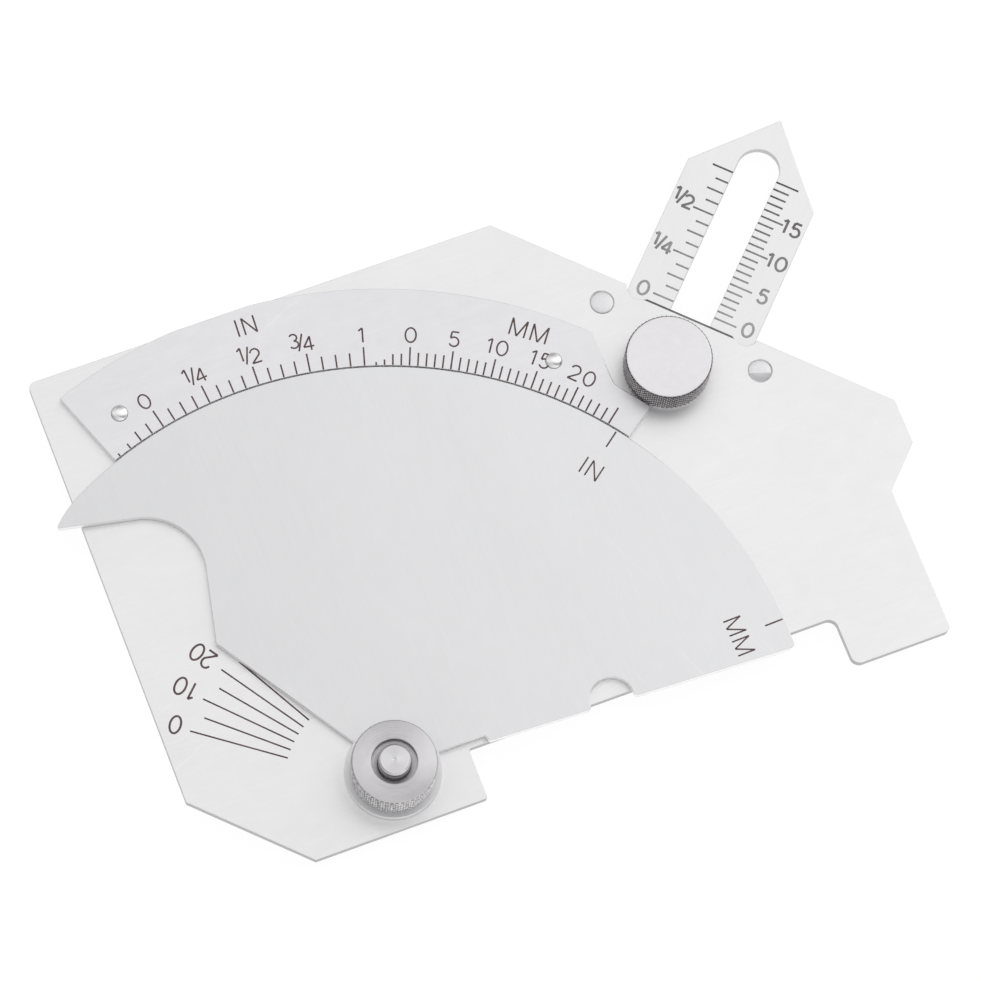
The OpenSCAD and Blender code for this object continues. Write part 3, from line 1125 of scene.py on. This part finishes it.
@dataclass
class ScaleBand:
    """Curved scale in inches and millimetres, with its two rivets.

    Labels and headings hold their angle from +X about the pivot, and headings their distance from it too.
    """

    face: float = 4.5
    inner_r: float = 51.74
    long_l: float = 2.4
    short_l: float = 1.72
    lead_l: tuple[float, ...] = (1.5, 1.4, 0.7, 0.4)
    tick_w: float = 0.21
    label_r: float = 55.72
    label_h: float = 1.9
    label_w: float = 0.22
    inches: Labels = (("0", 102.46), ("1/4", 95.4), ("1/2", 87.96), ("3/4", 80.97), ("1", 73.28))
    millimetres: Labels = (("0", 66.97), ("5", 61.41), ("10", 55.8), ("15", 50.15), ("20", 44.4))
    headings: tuple[tuple[str, float, float], ...] = (("IN", 87.0, 59.46), ("MM", 52.6, 58.86))
    heading_h: float = 2.25
    inch_zero_a: float = 102.2
    inch_marks: int = 16
    inch_long: int = 4
    metric_zero_a: float = 66.97
    metric_marks: int = 25
    metric_long: int = 5
    tip_r: float = 50.9
    pivot_h: float = 6.9
    rivet_r: float = 1.0
    rivet_left_a: float = 105.9
    rivet_right_a: float = 48.5
    rivet_out: float = 56.15
    rivet_steps: int = 48
    dome: float = 0.4
    dome_step: int = 9
    tail_z: float = 2.3
    tail_r: float = 1.5
    tail_h: float = 0.5

    def angle(self, zero: float, height: float) -> float:
        """Angle of a mark for the pointer's height above the feet, from the angle of the zero mark."""
        lift = math.asin((height - self.pivot_h) / self.tip_r) + math.asin(self.pivot_h / self.tip_r)
        return zero - math.degrees(lift)

    def tick(self, marks: Engraving, angle: float, length: float) -> None:
        """Adds a mark that starts at the band's inner edge."""
        outer_r = self.inner_r + length
        marks.line(polar(PIVOT, self.inner_r, angle), polar(PIVOT, outer_r, angle), self.tick_w)

    def label(self, marks: Engraving, text: str, angle: float, radius: float, height: float) -> None:
        """Adds a label whose top points outwards."""
        marks.label(text, Lettering(polar(PIVOT, radius, angle), angle - 90.0, height, self.label_w))

    def row(self, marks: Engraving, zero: float, unit: float, count: int, every: int) -> None:
        """Adds a scale's marks, and the ones of falling length that lead up to its zero.

        Args:
            marks: Engraving that takes them.
            zero: Angle of the zero mark.
            unit: Height between marks.
            count: Number of the last mark.
            every: Every so many marks, one is long.
        """
        for i in range(count + 1):
            self.tick(marks, self.angle(zero, i * unit), self.short_l if i % every else self.long_l)
        first = self.angle(zero, 0.0)
        gap = first - self.angle(zero, unit)
        for i, length in enumerate(self.lead_l, 1):
            self.tick(marks, first + i * gap, length)

    def rivets(self, shop: Workshop) -> None:
        """Turns the two rivets, from the countersunk tail to the dome.

        Args:
            shop: Workshop that publishes them.
        """
        turns = [math.radians(a) for a in range(0, 90, self.dome_step)]
        profile = [
            (0.0, self.tail_z),
            (self.tail_r, self.tail_z),
            (self.rivet_r, self.tail_z + self.tail_h),
            *[(self.rivet_r * math.cos(t), self.face + self.dome * math.sin(t)) for t in turns],
            (0.0, self.face + self.dome),
        ]
        for side, angle in (("left", self.rivet_left_a), ("right", self.rivet_right_a)):
            name, node = f"dome_rivet_{side}", f"band_rivet_{side}"
            centre = polar(PIVOT, self.rivet_out, angle)
            TurnedPart(
                name, node, Body.PLATE, Slot.RIVET, centre, profile, RIVET_STEEL, self.rivet_steps
            ).build(shop)

    def build(self, shop: Workshop) -> None:
        """Builds the band, its marks and its rivets.

        Args:
            shop: Workshop that publishes them.
        """
        SheetPart("scale_band", Body.PLATE, Slot.PLATE, BAND_STEEL).build(shop)
        marks = Engraving("curved_scale", Body.PLATE, Slot.PLATE, BURNT, self.face)
        self.row(marks, self.inch_zero_a, SIXTEENTH, self.inch_marks, self.inch_long)
        self.row(marks, self.metric_zero_a, 1.0, self.metric_marks, self.metric_long)
        for text, angle in self.inches + self.millimetres:
            self.label(marks, text, angle, self.label_r, self.label_h)
        for text, angle, radius in self.headings:
            self.label(marks, text, angle, radius, self.heading_h)
        marks.build(shop)
        self.rivets(shop)


@dataclass
class PointerCam:
    """Cam with its two index marks, and the nut and stud that hold it.

    Shoulder, tip and foot hold how far points lie inside a part's side and away from its end.
    The dimple holds radii and depths, and the sink's edge its width and depth.
    """

    face: float = 4.55
    index_in: float = 48.95
    index_out: float = 51.3
    inch_a: float = 36.85
    metric_a: float = 1.5
    heading_r: float = 45.5
    heading_h: float = 2.25
    mark_w: float = 0.2
    nut_r: float = 5.25
    nut_low: float = 4.6
    nut_high: float = 8.8
    nut_foot: tuple[float, float] = (0.06, 0.16)
    nut_shoulder: Offsets = ((0.10, 0.14), (0.22, 0.02), (0.30, 0.0))
    knurl_foot: float = 0.22
    knurl_head: float = 0.24
    knurl_teeth: int = 52
    knurl_depth: float = 0.18
    bore_r: float = 2.05
    bore_land: float = 0.4
    sink_r: float = 2.8
    sink_depth: float = 1.1
    sink_taper: float = 0.06
    sink_fall: float = 0.15
    sink_edge: tuple[float, float] = (0.04, 0.03)
    stud_r: float = 2.0
    stud_top: float = 9.7
    stud_steps: int = 96
    stud_tip: Offsets = ((0.0, 0.34), (0.05, 0.22), (0.24, 0.03), (0.28, 0.0), (0.38, 0.0))
    dimple: Offsets = ((0.3, 0.0), (0.2, 0.0), (0.12, 0.03), (0.0, 0.07))
    shoulder_r: float = 2.5
    shoulder_below: float = 0.05
    head_r: float = 4.5
    head_h: float = 2.3
    chamfer: float = 0.3
    thread_below: float = 1.7
    thread_spare: float = 0.25
    thread_pitch: float = 0.7
    thread_depth: float = 0.22
    thread_flank: float = 0.32
    thread_root: float = 0.1

    def nut_profile(self, knurl: KnurlBand) -> Points:
        """Profile of the nut, round from its bore's foot to its bore's mouth.

        Args:
            knurl: Knurl on its side.

        Returns:
            Radius and height of each point.
        """
        r, low, high = self.nut_r, self.nut_low, self.nut_high
        floor = high - self.sink_depth
        return [
            (self.bore_r, floor - self.bore_land),
            (self.bore_r, low),
            (r - self.chamfer, low),
            (r - self.nut_foot[0], low + self.nut_foot[1]),
            *knurl.side(),
            *[(r - inside, high - below) for inside, below in self.nut_shoulder],
            (self.sink_r + self.sink_edge[0], high),
            (self.sink_r, high - self.sink_edge[1]),
            (self.sink_r - self.sink_taper, floor),
            (self.bore_r, floor - self.sink_fall),
            (self.bore_r, floor - self.bore_land),
        ]

    def stud_profile(self) -> Points:
        """Profile of the stud, from the middle of its head to the dimple in its end.

        Returns:
            Radius and height of each point.
        """
        r, root, top = self.stud_r, self.stud_r - self.thread_depth, self.stud_top
        low = self.nut_high - self.thread_below
        shoulder = self.face - self.shoulder_below
        turns = int((top - self.chamfer - self.thread_spare - low) / self.thread_pitch)
        thread: Points = []
        for i in range(turns):
            z = low + i * self.thread_pitch
            groove = z + self.thread_flank
            thread += [(r, z), (root, groove), (root, groove + self.thread_root)]
        return [
            (0.0, 0.0),
            (self.head_r - self.chamfer, 0.0),
            (self.head_r, self.chamfer),
            (self.head_r, self.head_h),
            (self.shoulder_r, self.head_h),
            (self.shoulder_r, shoulder),
            (r, shoulder),
            *thread,
            (r, low + turns * self.thread_pitch),
            *[(r - inside, top - below) for inside, below in self.stud_tip],
            *[(radius, top - depth) for radius, depth in self.dimple],
        ]

    def build(self, shop: Workshop) -> None:
        """Builds the cam, its marks, the nut and the stud.

        Args:
            shop: Workshop that publishes them.
        """
        SheetPart("cam_plate", Body.CAM, Slot.CAM, CAM_STEEL).build(shop)
        marks = Engraving("cam_index", Body.CAM, Slot.CAM, BURNT, self.face)
        for text, angle in (("IN", self.inch_a), ("MM", self.metric_a)):
            marks.line(polar(PIVOT, self.index_in, angle), polar(PIVOT, self.index_out, angle), self.mark_w)
            place = polar(PIVOT, self.heading_r, angle)
            marks.label(text, Lettering(place, angle - 90.0, self.heading_h, self.mark_w))
        marks.build(shop)
        knurl_low, knurl_high = self.nut_low + self.knurl_foot, self.nut_high - self.knurl_head
        knurl = KnurlBand(self.nut_r, knurl_low, knurl_high, self.knurl_teeth, self.knurl_depth)
        nut, stud = self.nut_profile(knurl), self.stud_profile()
        TurnedPart(
            "knurled_nut",
            "lock_nut",
            Body.NUT,
            Slot.TURNED,
            PIVOT,
            nut,
            NUT_STEEL,
            knurl.steps(),
            knurl,
            NUT_KNURL,
        ).build(shop)
        TurnedPart(
            "turned_stud", "pivot_stud", Body.PLATE, Slot.TURNED, PIVOT, stud, STUD_STEEL, self.stud_steps
        ).build(shop)


@dataclass
class ThroatSlide:
    """Pointed slide with its two rulers, the keeper behind it, and its thumb screw.

    Places are distances along and to the left of the slide's axis, and labels hold theirs.
    Shoulder, foot and head hold how far points lie inside a part's side and away from its end.
    """

    face: float = 2.25
    inch_zero: float = -26.62
    inch_marks: int = 13
    inch_long: int = 4
    inch_middle: int = 2
    metric_zero: float = -26.45
    metric_marks: int = 21
    metric_long: int = 5
    slot_edge: float = 2.74
    long_v: float = 5.5
    middle_v: float = 4.95
    short_v: float = 4.45
    metric_long_v: float = 5.75
    metric_short_v: float = 4.85
    labels: tuple[tuple[str, float, float], ...] = (
        ("0", -26.5, 6.88),
        ("1/4", -20.0, 7.16),
        ("1/2", -13.25, 7.16),
        ("0", -26.2, -7.2),
        ("5", -21.3, -7.17),
        ("10", -16.4, -7.0),
        ("15", -11.43, -6.9),
    )
    label_turn: float = -45.0
    label_h: float = 1.85
    label_stroke: float = 0.33
    tick_w: float = 0.25
    knob_r: float = 5.45
    knob_low: float = 3.55
    knob_high: float = 7.75
    knob_foot: tuple[float, float] = (0.06, 0.22)
    knob_shoulder: Offsets = ((0.2, 0.02), (0.24, 0.0), (0.36, 0.0))
    knurl_foot: float = 0.3
    knurl_head: float = 0.08
    knurl_teeth: int = 60
    knurl_depth: float = 0.2
    knurl_rim: float = 0.101
    shank_r: float = 2.0
    chamfer: float = 0.3
    rivet_u: float = -30.9357
    rivet_v: float = 10.7
    rivet_r: float = 1.1
    rivet_head_r: float = 1.55
    rivet_steps: int = 56
    rivet_head: Offsets = ((0.0, 0.3), (0.0, 0.12), (0.05, 0.06), (0.2, 0.03), (0.705, 0.008))
    groove: float = 0.14
    filed_turn: float = 252.0
    filed_start: float = 0.3
    filed_slope: float = 0.16
    filed_depth: float = 0.2
    plate_face: float = 3.5

    def at(self, u: float, v: float) -> Vector:
        """Place from distances along and to the left of the slide's axis."""
        return SLIDE_CORNER + Vector((u - v, u + v)) / math.sqrt(2.0)

    def rulers(self, shop: Workshop) -> None:
        """Engraves the inch ruler on the left and the millimetre ruler on the right.

        Args:
            shop: Workshop that publishes the marks.
        """
        marks = Engraving("slide_scale", Body.SLIDE, Slot.PLATE, GREY, self.face)
        for i in range(self.inch_marks):
            u = self.inch_zero + i * SIXTEENTH
            reach = self.middle_v if i % self.inch_long else self.long_v
            reach = self.short_v if i % self.inch_middle else reach
            marks.line(self.at(u, self.slot_edge), self.at(u, reach), self.tick_w)
        for i in range(self.metric_marks):
            u = self.metric_zero + i
            reach = self.metric_short_v if i % self.metric_long else self.metric_long_v
            marks.line(self.at(u, -self.slot_edge), self.at(u, -reach), self.tick_w)
        for text, u, v in self.labels:
            marks.label(text, Lettering(self.at(u, v), self.label_turn, self.label_h, self.label_stroke))
        marks.build(shop)

    def knob(self, shop: Workshop) -> None:
        """Turns and knurls the thumb screw.

        Args:
            shop: Workshop that publishes it.
        """
        r, c, low, high = self.knob_r, self.chamfer, self.knob_low, self.knob_high
        knurl_low, knurl_high = low + self.knurl_foot, high - self.knurl_head
        knurl = KnurlBand(r, knurl_low, knurl_high, self.knurl_teeth, self.knurl_depth, self.knurl_rim)
        profile = [
            (0.0, c),
            (self.shank_r - c, c),
            (self.shank_r, 2 * c),
            (self.shank_r, low),
            (r - c, low),
            (r - self.knob_foot[0], low + self.knob_foot[1]),
            *knurl.side(),
            *[(r - inside, high - below) for inside, below in self.knob_shoulder],
            (0.0, high),
        ]
        TurnedPart(
            "thumb_knob",
            "thumb_screw",
            Body.SCREW,
            Slot.TURNED,
            SCREW,
            profile,
            KNOB_STEEL,
            knurl.steps(),
            knurl,
            KNOB_KNURL,
        ).build(shop)

    def rivets(self, shop: Workshop) -> None:
        """Turns the keeper's two rivets, flush at both ends, and files a flat on the right one.

        Args:
            shop: Workshop that publishes them.
        """
        top = self.plate_face
        cone = self.rivet_head_r - self.rivet_r
        rim = self.rivet_head_r - self.groove
        head = [(rim - inside, below) for inside, below in self.rivet_head]
        profile = [
            (0.0, 0.0),
            *reversed(head),
            (self.rivet_r, cone),
            (self.rivet_r, top - cone),
            *[(r, top - below) for r, below in head],
            (0.0, top),
        ]
        filed = Facet(self.filed_turn, self.filed_start, self.filed_slope, top - self.filed_depth)
        for side, v, facet in (("left", self.rivet_v, None), ("right", -self.rivet_v, filed)):
            name, node = f"flush_rivet_{side}", f"keeper_rivet_{side}"
            place = self.at(self.rivet_u, v)
            TurnedPart(
                name, node, Body.PLATE, Slot.RIVET, place, profile, FLUSH_STEEL, self.rivet_steps, facet=facet
            ).build(shop)

    def build(self, shop: Workshop) -> None:
        """Builds the slide, its marks, the keeper, its rivets and the thumb screw.

        Args:
            shop: Workshop that publishes them.
        """
        SheetPart("throat_slide", Body.SLIDE, Slot.PLATE, SLIDE_STEEL).build(shop)
        SheetPart("slide_keeper", Body.PLATE, Slot.PLATE, KEEPER_STEEL).build(shop)
        self.rulers(shop)
        self.knob(shop)
        self.rivets(shop)


# Studio


@dataclass
class Studio:
    """Camera at the photograph's angle, white floor and a soft light tent."""

    camera_at: tuple[float, float, float] = (-102.4971, -173.2733, 610.03)
    camera_x: tuple[float, float, float] = (0.931232, -0.360591, 0.05273)
    camera_y: tuple[float, float, float] = (0.327684, 0.891848, 0.311817)
    camera_z: tuple[float, float, float] = (-0.159466, -0.273095, 0.948678)
    focal_px: float = 5212.07
    frame_px: float = 981.0
    sensor: float = 36.0
    clip: tuple[float, float] = (0.01, 20.0)
    floor_size: float = 6.0
    floor_below: float = 0.00003
    floor_tone: float = 0.84
    glow: float = 1.1
    glow_share: float = 0.8
    top_light: float = 1.27
    low_light: float = 0.4
    dusk: float = 3.0
    box_at: float = 0.591
    box_width: float = 0.4
    front_light: float = 0.95
    front_at: float = 0.2
    front_turn: float = 0.6
    front_fade: float = 0.2
    horizon_light: float = 0.3
    horizon_top: float = 0.4
    horizon_fade: float = 0.25
    right_light: float = 0.45
    right_from: float = 0.1

    RAYS = ("Is Camera Ray", "Is Glossy Ray", "Is Transmission Ray")

    def build(self) -> None:
        """Builds the camera, the floor and the light."""
        self.camera()
        self.floor()
        self.tent()
        bpy.context.scene.view_settings.view_transform = "Standard"

    def camera(self) -> None:
        """Sets the camera where the photograph was taken from."""
        data = bpy.data.cameras.new("camera")
        data.sensor_width = self.sensor
        data.lens = self.focal_px / self.frame_px * self.sensor
        data.clip_start, data.clip_end = self.clip
        camera = bpy.data.objects.new("camera", data)
        axes = Matrix((self.camera_x, self.camera_y, self.camera_z)).transposed().to_4x4()
        camera.matrix_world = Matrix.Translation(Vector(self.camera_at) * MM) @ axes
        bpy.context.scene.collection.objects.link(camera)
        bpy.context.scene.camera = camera

    def seen(self, s: Shader) -> Value:
        """1 for rays that show the background, straight or mirrored, 0 for light."""
        path = s.node("ShaderNodeLightPath").outputs
        straight, mirrored, through = (Value(s, path[name]) for name in self.RAYS)
        return (straight + mirrored + through).clamp()

    def floor(self) -> None:
        """Lays the white floor, which keeps the gauge's soft shadow."""
        bm = bmesh.new()
        bmesh.ops.create_grid(bm, x_segments=1, y_segments=1, size=self.floor_size / 2.0)
        bmesh.ops.translate(bm, vec=(0.0, 0.0, -self.floor_below), verts=bm.verts)
        mesh = bpy.data.meshes.new("floor")
        bm.to_mesh(mesh)
        bm.free()
        material, s = new_shader("white_floor")
        share = self.seen(s) * self.glow_share
        paper = s.node("ShaderNodeBsdfDiffuse", inputs={"Color": (*(self.floor_tone,) * 3, 1.0)})
        glow = s.node("ShaderNodeEmission", inputs={"Color": (1.0,) * 4, "Strength": self.glow})
        mixed = s.node("ShaderNodeMixShader", inputs={0: share, 1: paper.outputs[0], 2: glow.outputs[0]})
        s.node("ShaderNodeOutputMaterial", inputs={"Surface": mixed.outputs[0]})
        mesh.materials.append(material)
        floor = bpy.data.objects.new("floor", mesh)
        bpy.context.scene.collection.objects.link(floor)

    def tent(self) -> None:
        """Lights the gauge from a pale tent, brighter on the right.

        It has a long softbox across the picture, a fill in front and a glow along the horizon.
        """
        world = bpy.data.worlds.new("tent")
        world.use_nodes = True
        bpy.context.scene.world = world
        s = Shader(world.node_tree)
        ray = s.node("ShaderNodeTexCoord").outputs["Generated"]
        side = s.measure("DOT_PRODUCT", {0: ray, 1: self.camera_x})
        along = s.measure("DOT_PRODUCT", {0: ray, 1: self.camera_y})
        height = s.axis(ray, 2)
        above = (height * self.dusk).clamp()
        off = (along - self.box_at) / self.box_width
        box = above * (1.0 - off * off).clamp()
        front = above * ((self.front_at - along - side * self.front_turn) / self.front_fade).clamp()
        horizon = ((self.horizon_top - height) / self.horizon_fade).clamp()
        level = self.low_light + box * (self.top_light - self.low_light)
        level = level + front * (self.front_light - self.low_light) + horizon * self.horizon_light
        tilted = level * (1.0 - self.right_from * self.right_light + side * self.right_light)
        light = s.node("ShaderNodeBackground", inputs={"Color": (1.0,) * 4, "Strength": tilted})
        s.node("ShaderNodeOutputWorld", inputs={"Surface": light.outputs[0]})


def main() -> None:
    """Builds the gauge and its studio."""
    logging.basicConfig(level=logging.INFO, format="%(name)s: %(message)s")
    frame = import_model()
    shop = Workshop(frame["nodes"])
    for assembly in (MainPlate(), ScaleBand(), PointerCam(), ThroatSlide()):
        assembly.build(shop)
    Studio().build()


if __name__ == "__main__":
    main()
